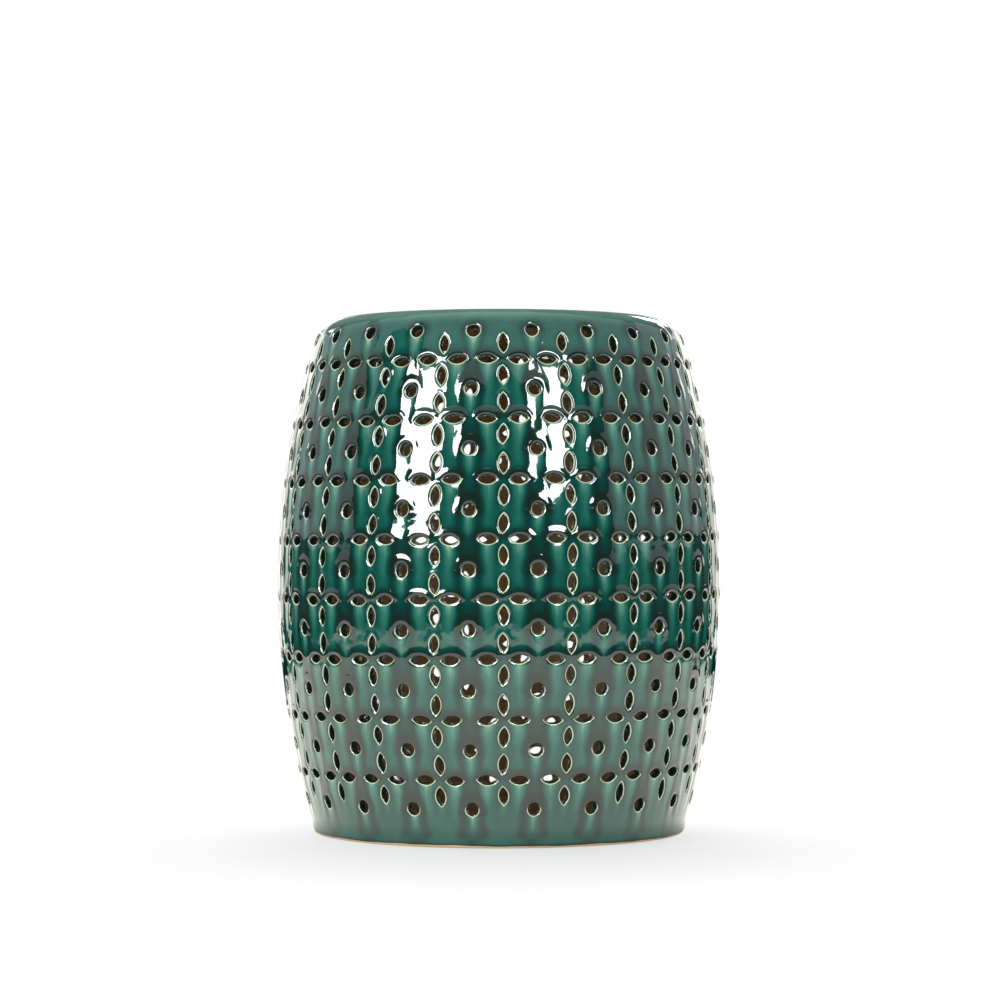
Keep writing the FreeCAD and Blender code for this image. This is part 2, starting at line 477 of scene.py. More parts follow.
def pierced_sheet(outer, inner, cuts, thickness):
    """Both faces of a flat sheet between two outlines, and the walls of its cuts.

    cuts are (outline, x, y, number). Gives vertices as x, y and depth, the faces, and
    each vertex's share of the glaze relief.
    """
    deep = thickness / MM
    section = LIP + [(0.0, deep - INNER_LIP_DEPTH, 0.0), (INNER_LIP_REACH, deep, 0.0)]
    verts, faces, relief = [], [], []

    def add(points, depth, share):
        start = len(verts)
        verts.extend((x, y, depth * MM) for x, y in points)
        relief.extend([share] * len(points))
        return start

    def ring(cut, gap):
        shape, x, y, _ = cut
        return shape[:, :2] + (x, y) + shape[:, 2:] * gap * MM

    def sheet(outline, edge, spacing, outward):
        gap, depth, share = edge
        points, triangles = filled(outline, [ring(cut, gap) for cut in cuts], spacing)
        start = add(points, depth, share)
        order = triangles if outward else triangles[:, ::-1]
        faces.extend([tuple(start + corner for corner in face) for face in order])

    sheet(outer, section[0], OUTER_SPACING, True)
    sheet(inner, section[-1], INNER_SPACING, False)
    for cut in cuts:
        count = len(cut[0])
        starts = [add(ring(cut, gap), depth, share) for gap, depth, share in section]
        for near, far in zip(starts, starts[1:]):
            for step in range(count):
                after = (step + 1) % count
                faces.append((near + step, near + after, far + after, far + step))
    return np.array(verts), faces, np.array(relief)


def cut_gaps(points, cuts):
    """Distance of each point from the rim of each cut."""
    return np.stack([nearest_distance(points, shape[:, :2] + (x, y)) for shape, x, y, _ in cuts])


def new_piece(name, data):
    piece = bpy.data.objects.new(name, data)
    bpy.context.scene.collection.objects.link(piece)
    return piece


def mesh_piece(name, verts, faces):
    mesh = bpy.data.meshes.new(name)
    mesh.from_pydata([tuple(spot) for spot in verts], [], faces)
    return new_piece(name, mesh)


def new_layer(mesh, label, domain, values):
    """Stores vectors on a mesh under a label."""
    layer = mesh.attributes.new(label, "FLOAT_VECTOR", domain)
    layer.data.foreach_set("vector", np.asarray(values, np.float32).ravel())


def tile_object(name, verts, faces, home, hold):
    tile = mesh_piece(name, verts, faces)
    for label, values in (("local", verts), ("home", home), ("hold", hold)):
        new_layer(tile.data, label, "POINT", values)
    return tile


def make_tile(name, half_width, heights, cuts):
    """One tile of the wall, flat.

    Each vertex remembers its place in the tile, and in home the middle and number of
    its nearest cut. hold says how far it follows that cut's hand-made irregularity,
    the keeping of true size up the wall, and the relief.
    """
    outline = np.array(tile_outline(half_width, heights))
    verts, faces, relief = pierced_sheet(outline, outline, cuts, WALL)
    home = np.zeros((len(verts), 3))
    grip = np.zeros(len(verts))
    if cuts:
        gaps = cut_gaps(verts[:, :2], cuts)
        home = np.array([(x, y, number) for _, x, y, number in cuts])[gaps.argmin(axis=0)]
        edge = nearest_distance(verts[:, :2], outline)
        grip = eased(1 - gaps.min(axis=0) / CUT_REACH) * eased(edge / STILL_EDGE)
    widths = np.array([half_width(y) for y in verts[:, 1]])
    span = eased((widths - abs(verts[:, 0])) / SIZE_EDGE)
    return tile_object(name, verts, faces, home, np.stack([grip, span, relief], axis=1))


def make_crown_tile(high):
    """Plain band over a whole column, its side points matching the tiles below it."""
    flower = flower_half_width(0.0)
    beside = COLUMN_PITCH / 2 - flower
    across = []
    for half, start in ((flower, -flower), (beside, flower)):
        steps = steps_across(half)
        across += [start + 2 * half * step / steps for step in range(steps)]
    across.append(COLUMN_PITCH - flower)
    wide = len(across)
    heights = levels(0.0, high)
    verts, faces, relief = [], [], []
    for depth, share, outward in ((0.0, 1.0, True), (WALL, 0.0, False)):
        start = len(verts)
        verts += [(x, y, depth) for y in heights for x in across]
        relief += [share] * (len(heights) * wide)
        for row in range(len(heights) - 1):
            for column in range(wide - 1):
                a = start + row * wide + column
                face = (a, a + 1, a + 1 + wide, a + wide)
                faces.append(face if outward else face[::-1])
    hold = np.zeros((len(verts), 3))
    hold[:, 2] = relief
    return tile_object("crown", np.array(verts), faces, np.zeros((len(verts), 3)), hold)


def wall_tiles():
    """The tiles, each with its place in columns and rows: shift, height and rows."""
    half = ROW_PITCH / 2
    flower_cuts = [
        (leaf_outline(False), PETAL_OFFSET, 0.0, 1),
        (leaf_outline(False), -PETAL_OFFSET, 0.0, 2),
        (leaf_outline(True), 0.0, PETAL_OFFSET, 3),
        (leaf_outline(True), 0.0, -PETAL_OFFSET, 4),
    ]
    round_cut = [(round_outline(), 0.0, 0.0, 5)]
    full = levels(-half, 0.0)[:-1] + levels(0.0, half)
    low = levels(FOOT_HEIGHT - LOWEST_ROUND, 0.0)[:-1] + levels(0.0, half)
    top_flower = TOP_ROUND + half
    foot_flower = LOWEST_FLOWER - ROW_PITCH
    foot_levels = [y - (foot_flower - LOWEST_ROUND) for y in levels(FOOT_HEIGHT - LOWEST_ROUND, 0.0)]
    return [
        (make_tile("flower", flower_half_width, full, flower_cuts), 0.0, LOWEST_FLOWER, ROWS),
        (make_tile("round", round_half_width, full, round_cut), 0.5, LOWEST_ROUND + ROW_PITCH, ROWS),
        (make_tile("round_low", round_half_width, low, round_cut), 0.5, LOWEST_ROUND, 1),
        (make_tile("plain_low", flower_half_width, foot_levels, []), 0.0, foot_flower, 1),
        (make_tile("plain_top", flower_half_width, levels(-half, 0.0), []), 0.0, top_flower, 1),
        (make_crown_tile(CROWN_RUN - top_flower), 0.0, top_flower, 1),
    ]


# Named inputs of the wall's tree. The hand sizes are the most that a cut goes astray.
WALL_SIZES = {
    "First column": ("NodeSocketInt", 0),
    "Column count": ("NodeSocketInt", COLUMNS // SECTORS),
    "Hand wander": ("NodeSocketFloat", 0.6 * MM),
    "Hand roll": ("NodeSocketFloat", math.radians(6.0)),
    "Hand stretch": ("NodeSocketFloat", 0.07),
    "Row lean": ("NodeSocketFloat", 0.010),
    "Row drift": ("NodeSocketFloat", 2.4 * MM),
    "Relief": ("NodeSocketFloat", RELIEF),
    "Seed": ("NodeSocketInt", 7),
}
CUT_NUMBERS = 8.0


def read_layer(wires, name, kind="FLOAT_VECTOR"):
    found = wires.node("GeometryNodeInputNamedAttribute", {"Name": name}, data_type=kind)
    return found.outputs["Attribute"]


def laid_out(wires, given, tiles):
    """The tiles in their columns and rows, still flat, each knowing its own cell."""
    index = Field(wires, wires.node("GeometryNodeInputIndex").outputs[0])
    joined = wires.node("GeometryNodeJoinGeometry")
    for kind, (tile, shift, height, rows) in enumerate(tiles):
        row = wires.math("FLOOR", (index + 0.5) / given["Column count"])
        column = index - row * given["Column count"] + given["First column"]
        spot = wires.vector((column + shift) * COLUMN_PITCH, row * ROW_PITCH + height, 0.0)
        total = given["Column count"] * float(rows)
        points = wires.node("GeometryNodePoints", {"Count": total, "Position": spot})
        cell = column + (row + (ROWS + 1.0) * kind) * COLUMNS
        made = wires.node("GeometryNodeObjectInfo", {"Object": tile})
        placed = wires.node("GeometryNodeInstanceOnPoints", {
            "Points": points, "Instance": made.outputs["Geometry"],
        })
        stored = wires.node("GeometryNodeStoreNamedAttribute", {
            "Geometry": placed, "Name": "cell", "Value": cell,
        }, data_type="INT", domain="INSTANCE")
        wires.join(joined.inputs[0], stored)
    return wires.node("GeometryNodeRealizeInstances", {0: joined}).outputs[0]


def hand_moves(wires, given, local, grip):
    """How far the hand that set a cut moved it: turned and stretched about its middle."""
    home_x, home_y, number = wires.split(read_layer(wires, "home"))
    cut = Field(wires, read_layer(wires, "cell", "INT")) * CUT_NUMBERS + number

    def chance(offset):
        drawn = wires.node("FunctionNodeRandomValue", data_type="FLOAT")
        low, high = [socket for socket in drawn.inputs if socket.type == "VALUE"][:2]
        wires.join(low, -1.0)
        wires.join(high, 1.0)
        wires.join(drawn.inputs["ID"], cut)
        wires.join(drawn.inputs["Seed"], given["Seed"] + float(offset))
        return Field(wires, [socket for socket in drawn.outputs if socket.type == "VALUE"][0])

    roll = chance(0) * given["Hand roll"]
    cosine, sine = wires.math("COSINE", roll), wires.math("SINE", roll)
    from_x, from_y = local[0] - home_x, local[1] - home_y
    set_x = (cosine * from_x - sine * from_y) * (1 + chance(1) * given["Hand stretch"])
    set_y = (sine * from_x + cosine * from_y) * (1 + chance(2) * given["Hand stretch"])
    move_x = grip * (set_x - from_x + chance(3) * given["Hand wander"])
    move_y = grip * (set_y - from_y + chance(4) * given["Hand wander"])
    return move_x, move_y


def true_size_growth(wires, run):
    """How much wider the layout is drawn where the wall is narrower than its belly.

    The cutters stay the same size where the wall draws in, and the plain bands follow
    the pot, so that the tiles of every row meet.
    """
    from_belly = wires.math("MINIMUM", run, SHOULDER_RUN) - BELLY_HEIGHT
    here = wires.math("SQRT", SIDE_ARC ** 2 - from_belly * from_belly) + SIDE_X
    true_size = run.rise(FOOT_HEIGHT, LOWEST_ROUND - ROUND_RADIUS)
    true_size = true_size * run.fall(TOP_ROUND + ROUND_RADIUS, TOP_ROUND + ROW_PITCH / 2)
    return (BELLY_RADIUS / here - 1) * true_size


def wrapped(wires, height, depth, square, turn_x, turn_y):
    """Place on the pot of a spot up the wall. square draws its depth in level or askew."""
    on_side = wires.math("LESS_THAN", height, SHOULDER_RUN)
    side_sine = ((height - BELLY_HEIGHT) / SIDE_ARC).clamp(-0.9, math.sin(SHOULDER_TILT))
    tilt = wires.math("ARCSINE", side_sine)
    tilt = tilt + wires.math("MAXIMUM", height - SHOULDER_RUN, 0.0) / SHOULDER_ARC
    centre_x = on_side * (SIDE_X - SHOULDER_X) + SHOULDER_X
    centre_z = on_side * (BELLY_HEIGHT - SHOULDER_Z) + SHOULDER_Z
    arc = on_side * (SIDE_ARC - SHOULDER_ARC) + SHOULDER_ARC
    radius = centre_x + (arc - depth) * wires.math("COSINE", tilt)
    rise = centre_z + (arc - depth * square) * wires.math("SINE", tilt)
    return wires.vector(radius * turn_x, radius * turn_y, rise)


def wall_tree(tiles, finish):
    """Lays the tiles out in columns and rows, then wraps them round the pot."""
    tree = bpy.data.node_groups.new("pierced wall", "GeometryNodeTree")
    tree.interface.new_socket("Geometry", in_out="OUTPUT", socket_type="NodeSocketGeometry")
    for name, (kind, value) in WALL_SIZES.items():
        tree.interface.new_socket(name, in_out="INPUT", socket_type=kind).default_value = value
    wires = Wires(tree)
    given = {name: Field(wires, wires.node("NodeGroupInput").outputs[name]) for name in WALL_SIZES}
    flat = laid_out(wires, given, tiles)

    local_x, local_y, local_depth = wires.split(read_layer(wires, "local"))
    grip, span, skin = wires.split(read_layer(wires, "hold"))
    flat_x, run, _ = wires.split(wires.node("GeometryNodeInputPosition").outputs[0])
    pattern = wires.vector(flat_x, run, local_depth)
    patterned = wires.node("GeometryNodeStoreNamedAttribute", {
        "Geometry": flat, "Name": "pattern", "Value": pattern,
    }, data_type="FLOAT_VECTOR", domain="POINT")
    move_x, move_y = hand_moves(wires, given, (local_x, local_y), grip)
    around = flat_x + move_x + span * (local_x + move_x) * true_size_growth(wires, run)
    angle = around / BELLY_RADIUS + FRONT

    # Rows and columns wander a little, and the rows lean, but not at the foot or crown.
    turn_x, turn_y = wires.math("COSINE", angle), wires.math("SINE", angle)
    place = wires.vector(turn_x * BELLY_RADIUS, turn_y * BELLY_RADIUS, run)
    free = run.rise(FOOT_HEIGHT + 4 * MM, LOWEST_FLOWER + 10 * MM)
    free = free * run.fall(SHOULDER_RUN - 30 * MM, SHOULDER_RUN + 18 * MM)
    lean = turn_x * BELLY_RADIUS * given["Row lean"]
    drift = wires.noise(place, 9.0, 1.0) * given["Row drift"]
    height = run + move_y + free * (lean + drift)
    astray = wires.vector(turn_y * BELLY_RADIUS, run, turn_x * BELLY_RADIUS)
    angle = angle + free * wires.noise(astray, 11.0, 1.0) * given["Row drift"] / BELLY_RADIUS
    turn_x, turn_y = wires.math("COSINE", angle), wires.math("SINE", angle)

    # The relief of the glaze dies out at the foot joint and at the seat. The wall ends
    # square on its foot, and higher up its depth goes straight in.
    calm = run.rise(FOOT_HEIGHT + 1 * MM, FOOT_HEIGHT + 10 * MM)
    calm = calm * run.fall(SHOULDER_RUN + 6 * MM, CROWN_RUN - 6 * MM)
    thickness = glaze_thickness(wires, Spot(wires, pattern, place))
    depth = local_depth + skin * calm * (1 - thickness) * given["Relief"]
    square = run.rise(FOOT_HEIGHT, FOOT_HEIGHT + 45 * MM)
    moved = wires.node("GeometryNodeSetPosition", {
        0: patterned, "Position": wrapped(wires, height, depth, square, turn_x, turn_y),
    })
    welded = wires.node("GeometryNodeMergeByDistance", {0: moved, "Distance": WELD})
    shaded = wires.node("GeometryNodeSetShadeSmooth", {0: welded})
    dressed = wires.node("GeometryNodeSetMaterial", {0: shaded, "Material": finish})
    wires.node("NodeGroupOutput", {0: dressed})
    return tree


def grown_sector(name, tree, first_column):
    """Plain mesh of one run of columns, grown by the tree."""
    seedling = new_piece(name + "_growing", bpy.data.meshes.new(name + "_growing"))
    grower = seedling.modifiers.new("grow", "NODES")
    grower.node_group = tree
    for item in tree.interface.items_tree:
        if item.name == "First column":
            grower[item.identifier] = first_column
    graph = bpy.context.evaluated_depsgraph_get()
    mesh = bpy.data.meshes.new_from_object(seedling.evaluated_get(graph))
    seedling.modifiers.remove(grower)
    bpy.data.objects.remove(seedling)
    mesh.name = name
    return mesh


def vertex_array(mesh, label="position"):
    values = np.empty(len(mesh.vertices) * 3, np.float32)
    mesh.attributes[label].data.foreach_get("vector", values)
    return values.reshape(-1, 3)


def close_sides(mesh):
    """Closes a sector between the edges of its outer and inner faces."""
    pattern = vertex_array(mesh, "pattern")
    shell = bmesh.new()
    shell.from_mesh(mesh)
    shell.verts.ensure_lookup_table()
    rim = [edge for edge in shell.edges if edge.is_boundary]

    def key(vert):
        x, y, _ = pattern[vert.index]
        return round(float(x) / SAME_SPOT), round(float(y) / SAME_SPOT)

    def is_inner(vert):
        return pattern[vert.index][2] > WALL / 2

    inner = {key(vert): vert for edge in rim for vert in edge.verts if is_inner(vert)}
    for edge in rim:
        if is_inner(edge.verts[0]):
            continue
        loop = edge.link_loops[0]
        start = loop.vert
        end = edge.other_vert(start)
        shell.faces.new((end, start, inner[key(start)], inner[key(end)])).smooth = True
    shell.to_mesh(mesh)
    shell.free()


def make_wall(finish):
    """The three sectors of the pierced wall, shaded as one surface."""
    tiles = wall_tiles()
    tree = wall_tree(tiles, finish)
    names = ["wall_front", "wall_right", "wall_left"]
    per_sector = COLUMNS // SECTORS
    meshes = [grown_sector(name, tree, sector * per_sector - per_sector // 2)
              for sector, name in enumerate(names)]
    keys = [np.round(vertex_array(mesh) / WELD).astype(int) for mesh in meshes]
    normals = [np.array([tuple(item.vector) for item in mesh.vertex_normals]) for mesh in meshes]
    shared = {}
    for mesh_keys, found in zip(keys, normals):
        for key, normal in zip(map(tuple, mesh_keys), found):
            shared[key] = shared.get(key, 0) + normal
    pieces = []
    for mesh, mesh_keys, found in zip(meshes, keys, normals):
        pattern = vertex_array(mesh, "pattern")
        for at, key in enumerate(map(tuple, mesh_keys)):
            found[at] = shared[key] / np.linalg.norm(shared[key])
        crown = (pattern[:, 1] > CROWN_RUN - WELD) & (pattern[:, 2] < WALL / 2)
        found[crown] = (0.0, 0.0, 1.0)
        close_sides(mesh)
        mesh.normals_split_custom_set_from_vertices([tuple(normal) for normal in found])
        pieces.append(new_piece(mesh.name, mesh))
    for tile, *_ in tiles:
        bpy.data.objects.remove(tile)
    return pieces


def shade(mesh, finish):
    mesh.shade_smooth()
    mesh.set_sharp_from_angle(angle=CREASE)
    mesh.materials.append(finish)


def turned_piece(name, section, steps, finish):
    """Closed solid turned round the pot's axis.

    section gives, for a turn, the radius, height and clay depth in mm of each point,
    going up the outside and down the inside.
    """
    turns = [2 * math.pi * step / steps for step in range(steps)]
    rings = [section(turn) for turn in turns]
    count = len(rings[0])
    verts = [(r * math.cos(turn), r * math.sin(turn), z)
             for turn, ring in zip(turns, rings) for r, z, _ in ring]
    faces, pattern = [], []
    for step in range(steps):
        after_step = (step + 1) % steps
        for at in range(count):
            after = (at + 1) % count
            corners = ((step, at), (after_step, at), (after_step, after), (step, after))
            faces.append([ring * count + point for ring, point in corners])
            for ring, point in corners:
                turn = 2 * math.pi * (step + (ring != step)) / steps
                _, z, depth = rings[ring][point]
                pattern.append(((turn - FRONT) * BELLY_RADIUS, z, depth * MM))
    piece = mesh_piece(name, verts, faces)
    new_layer(piece.data, "pattern", "CORNER", pattern)
    shade(piece.data, finish)
    return piece


GLAZED = 0.0
BARE = 10.0


def foot_section(turn):
    """The foot ring: glazed down to a wavering line, bare clay under it and inside."""
    waver = 0.5 * math.sin(3 * turn + 1) + 0.4 * math.sin(7 * turn + 2.1)
    waver += 0.35 * math.sin(17 * turn + 0.5) + 0.2 * math.sin(41 * turn)
    line = GLAZE_LINE + 0.5 * waver * MM
    glaze = 0.4 * MM
    sole = side_radius(0.0)
    inner = sole - FOOT_WIDTH
    upstand = side_radius(FOOT_HEIGHT, WALL) - SLIP_GAP
    top = FOOT_HEIGHT + FOOT_UPSTAND
    points = [
        (sole - FOOT_ROUND, 0.0, BARE),
        (side_radius(0.25 * line) - 1.0 * MM, 0.12 * line, BARE),
        (side_radius(0.5 * line) - glaze - 0.1 * MM, 0.45 * line, BARE),
        (side_radius(line) - glaze, line - 0.25 * MM, BARE),
        (side_radius(line) - glaze, line, BARE),
        (side_radius(line) - 0.15 * MM, line + 0.05 * MM, GLAZED),
        (side_radius(line + 0.5 * MM), line + 0.5 * MM, GLAZED),
    ]
    for height in np.linspace(line + 1.6 * MM, FOOT_HEIGHT, 6):
        points.append((side_radius(height), height, GLAZED))
    points += [
        (side_radius(FOOT_HEIGHT) - 1 * MM, FOOT_HEIGHT, BARE),
        (upstand, FOOT_HEIGHT, BARE),
        (upstand, top - 0.6 * MM, BARE),
        (upstand - 0.6 * MM, top, BARE),
        (inner + 1.2 * MM, top, BARE),
        (inner, top - 1.2 * MM, BARE),
        (inner, FOOT_ROUND, BARE),
        (inner + 0.6 * MM, 0.6 * MM, BARE),
        (inner + FOOT_ROUND, 0.0, BARE),
    ]
    return points


def gallery_section(turn):
    """The ledge inside the shoulder that the seat slab lies on."""
    under = SEAT_HEIGHT - SEAT_THICKNESS - GALLERY_THICKNESS
    ledge = under + GALLERY_THICKNESS
    bedded = SHOULDER_ARC - WALL + 0.3 * MM
    inner = SHOULDER_X - GALLERY_WIDTH + 0.25 * MM * math.sin(5 * turn) * math.sin(11 * turn)
    points = [(inner + 1 * MM, under, BARE)]
    for height in np.linspace(under, ledge + 0.6 * MM, 4):
        reach = math.sqrt(bedded ** 2 - (height - SHOULDER_Z) ** 2)
        points.append((SHOULDER_X + reach, height, BARE))
    points += [
        (SHOULDER_X, ledge + 1.1 * MM, BARE),
        (SHOULDER_X, ledge, BARE),
        (inner + 0.6 * MM, ledge, BARE),
        (inner, ledge - 0.6 * MM, BARE),
        (inner, under + 1 * MM, BARE),
    ]
    return points


def thumbed(turn, marks):
    """How far a thumb has pressed a coil in at a turn, 0 to 1."""
    wave = math.sin(marks * turn / 2 + 0.8 * math.sin(3 * turn) + 0.5 * math.sin(7 * turn))
    return 0.25 + 0.45 * wave * wave


def coil_points(first, last, corner, press):
    """Section of a coil: its corner, then its hollow face between two feathered edges."""
    points = [(*corner, BARE)]
    for share in np.linspace(0, 1, 7):
        hollow = 4 * share * (1 - share) * press
        chord = [a + (b - a) * share for a, b in zip(first, last)]
        r, z = (c + (k - c) * hollow for c, k in zip(chord, corner))
        points.append((r, z, BARE))
    return points


def seat_coil_section(turn):
    """Coil pressed under the seat slab, against the inner edge of the gallery."""
    under = SEAT_HEIGHT - SEAT_THICKNESS
    outer = SHOULDER_X - GALLERY_WIDTH - SLIP_GAP
    ragged = 0.6 * MM * math.sin(13 * turn) * math.sin(4 * turn + 1)
    first = (outer - SEAT_COIL + abs(ragged), under)
    last = (outer, under - GALLERY_THICKNESS)
    return coil_points(first, last, (outer, under), thumbed(turn, 46))


def foot_coil_section(turn):
    """Coil pressed between the wall and the top of the foot's upstand."""
    low = FOOT_HEIGHT + FOOT_UPSTAND
    depth = WALL + SLIP_GAP
    ragged = 0.7 * MM * math.sin(11 * turn + 2) * math.sin(5 * turn)
    top = low + FOOT_COIL - abs(ragged)
    corner = (side_radius(low, depth), low)
    first = (side_radius(top, depth), top)
    last = (corner[0] - FOOT_COIL, low)
    return coil_points(first, last, corner, thumbed(turn, 52))


# Section of the seat's rim in mm: inset from the joint, and depth below the top.
SEAT_RIM = [(0.8, 0.0), (0.3, 0.12), (0.08, 0.4), (0.0, 0.9), (0.0, SEAT_THICKNESS / MM)]
FAR_FROM_CUTS = 20 * MM


def seat_cuts():
    """The drain flower in the middle of the seat, and the ring of round holes."""
    cuts = []
    for quarter, (reach_x, reach_y) in enumerate(((1, 0), (0, 1), (-1, 0), (0, -1))):
        shape = leaf_outline(quarter % 2 == 1)
        cuts.append((shape, reach_x * PETAL_OFFSET, reach_y * PETAL_OFFSET, quarter))
    for hole in range(SEAT_RING_HOLES):
        turn = (hole + 0.5) * 2 * math.pi / SEAT_RING_HOLES
        centre = SEAT_RING_RADIUS * math.cos(turn), SEAT_RING_RADIUS * math.sin(turn)
        cuts.append((round_outline(), *centre, hole))
    return cuts


def make_seat(finish):
    """Round slab that remembers how far each spot is from the cuts and from the rim."""
    radius = SHOULDER_X - SEAT_JOINT
    cuts = seat_cuts()
    turns = np.arange(SEAT_STEPS) * 2 * math.pi / SEAT_STEPS
    circle = np.stack([np.cos(turns), np.sin(turns)], axis=1)
    outer = circle * (radius - SEAT_RIM[0][0] * MM)
    verts, faces, _ = pierced_sheet(outer, circle * radius, cuts, SEAT_THICKNESS)
    gaps = cut_gaps(verts[:, :2], cuts).min(axis=0)
    rim_gap = radius - np.hypot(verts[:, 0], verts[:, 1])
    for pair in zip(SEAT_RIM, SEAT_RIM[1:]):
        start = len(verts)
        for inset, depth in pair:
            ring = [circle * (radius - inset * MM), np.full(SEAT_STEPS, depth * MM)]
            verts = np.concatenate([verts, np.column_stack(ring)])
            rim_gap = np.concatenate([rim_gap, np.full(SEAT_STEPS, inset * MM)])
            gaps = np.concatenate([gaps, np.full(SEAT_STEPS, FAR_FROM_CUTS)])
        below = start + SEAT_STEPS
        for step in range(SEAT_STEPS):
            after = (step + 1) % SEAT_STEPS
            faces.append((below + step, below + after, start + after, start + step))
    seat = mesh_piece("seat_top", [(x, y, SEAT_HEIGHT - depth) for x, y, depth in verts], faces)
    new_layer(seat.data, "pattern", "POINT", np.stack([gaps, rim_gap, verts[:, 2]], axis=1))
    solid = bmesh.new()
    solid.from_mesh(seat.data)
    bmesh.ops.remove_doubles(solid, verts=solid.verts, dist=WELD)
    solid.to_mesh(seat.data)
    solid.free()
    shade(seat.data, finish)
    return seat


def ramp(wires, value, stops):
    """Colour along a list of (place, colour) stops."""
    made = wires.node("ShaderNodeValToRGB", {0: value})
    band = made.color_ramp
    while len(band.elements) < len(stops):
        band.elements.new(0.5)
    for element, (place, colour) in zip(band.elements, stops):
        element.position = place
        element.color = (*colour, 1.0)
    return made.outputs[0]


def mixed(wires, share, first, second):
    """Colour between two. A Mix node takes colours at 6 and 7, and gives one at 2."""
    made = wires.node("ShaderNodeMix", {0: share, 6: first, 7: second}, data_type="RGBA")
    return made.outputs[2]


# Colour of the glaze from thin to thick, and of the clay under it.
GLAZE_STOPS = [
    (0.00, (0.58, 0.66, 0.43)),
    (0.08, (0.26, 0.42, 0.28)),
    (0.18, (0.10, 0.25, 0.185)),
    (0.32, (0.030, 0.155, 0.115)),
    (0.50, (0.006, 0.085, 0.064)),
    (0.68, (0.003, 0.045, 0.037)),
    (0.84, (0.006, 0.029, 0.023)),
    (1.00, (0.008, 0.020, 0.015)),
]
# Dark glaze on the walls of the cuts, made nearly black as painted shade inside the cuts.
CUT_WALL_GLAZE_AND_SHADE = (0.010, 0.022, 0.017, 1)
CLAY = (0.67, 0.48, 0.26, 1)
CLAY_DARK = (0.48, 0.33, 0.17, 1)
# Lighter clay for the bottom few millimetres: painted light, standing in for light from the white
# floor.
FLOOR_LIT_FOOT_CLAY = (0.72, 0.51, 0.26, 1)
GLAZE_ROUGHNESS = 0.045
BARE_ROUGHNESS = 0.75
CLAY_ROUGHNESS = 0.85
GLAZE_IOR = 1.55
GLAZE_BUMP = 0.6 * MM
CLAY_BUMP = 0.4 * MM


def emptied(owner):
    """Wires of a material or world, its tree emptied."""
    owner.use_nodes = True
    owner.node_tree.nodes.clear()
    return Wires(owner.node_tree)


def new_finish(name):
    material = bpy.data.materials.new(name)
    wires = emptied(material)
    surface = wires.node("ShaderNodeBsdfPrincipled")
    wires.node("ShaderNodeOutputMaterial", {0: surface})
    place = wires.node("ShaderNodeTexCoord").outputs["Object"]
    return material, wires, surface, place


def read_pattern(wires):
    return wires.node("ShaderNodeAttribute", attribute_name="pattern").outputs["Vector"]


def clay_colour(wires, place):
    speck = wires.noise(place, 420.0, 3.0, 0.6)
    cloud = wires.noise(place, 22.0, 3.0, 0.6)
    pot = mixed(wires, (0.45 + cloud * 1.1 + speck * 0.5).clamp(0.0, 1.0), CLAY, CLAY_DARK)
    # The bottom few millimetres are painted a lighter clay: painted light, standing in for light
    # bounced up from the floor.
    floor_lit_foot = (wires.split(place)[2] / MM + speck).fall(3.0, 5.0) * (0.85 + cloud)
    return mixed(wires, floor_lit_foot.clamp(0.0, 1.0), pot, FLOOR_LIT_FOOT_CLAY)


def dress_glaze(wires, surface, thickness, collar, depth, place):
    """Glaze over clay: glossy outside and on the walls of the cuts, bare clay inside."""
    fine = wires.noise(place, 900.0, 2.0, 0.6)
    cloud = wires.noise(place, 35.0, 2.0)
    glaze = ramp(wires, (thickness + fine * 0.03).clamp(0.0, 1.0), GLAZE_STOPS)
    # Below the lip the glaze turns to the near-black cut-wall colour: thick dark glaze, with painted
    # shade for the inside of the cuts.
    deep = (depth + fine * 0.3).rise(0.45, 0.95)
    bare = (depth + fine * 1.0 + cloud * 1.6).rise(7.4, 8.2)
    colour = mixed(wires, bare, mixed(wires, deep, glaze, CUT_WALL_GLAZE_AND_SHADE), clay_colour(wires, place))
    wires.join(surface.inputs["Base Color"], colour)
    wires.join(surface.inputs["Roughness"], GLAZE_ROUGHNESS + bare * BARE_ROUGHNESS)
    surface.inputs["IOR"].default_value = GLAZE_IOR
    swell = wires.noise(place, 70.0, 1.0) * 0.20 + wires.noise(place, 170.0, 2.0) * 0.07
    relief = thickness * 0.26 + collar * 0.42 + swell + fine * 0.08 * bare
    bump = wires.node("ShaderNodeBump", {"Height": relief, "Strength": 1.0, "Distance": GLAZE_BUMP})
    wires.join(surface.inputs["Normal"], bump)


def make_wall_finish():
    material, wires, surface, place = new_finish("teal glaze over clay")
    pattern = read_pattern(wires)
    at = Spot(wires, pattern, place)
    depth = wires.split(pattern)[2] / MM
    dress_glaze(wires, surface, glaze_thickness(wires, at), raised_collar(wires, at), depth, place)
    return material


def make_seat_finish():
    """The same glaze where it lies level: even, pooled about the holes, thin at the edge."""
    material, wires, surface, place = new_finish("teal glaze on the seat")
    gap, rim_gap, depth = (part / MM for part in wires.split(read_pattern(wires)))
    flow = wires.noise(place, 75.0, 2.0)
    pooled = (gap - 3.2).bell(2.2) * 0.28 + (rim_gap - 5.0).bell(4.0) * 0.14
    thick = 0.46 + pooled + wires.noise(place, 16.0, 2.0) * 0.35 + flow * 0.2
    lip = (gap + flow * 0.6).rise(*GLAZE_LIP) * (0.25 + 0.75 * (rim_gap + flow).rise(0.0, 1.6))
    dress_glaze(wires, surface, thick.clamp(LEAST_GLAZE, 1.0) * lip, 0.0, depth, place)
    return material


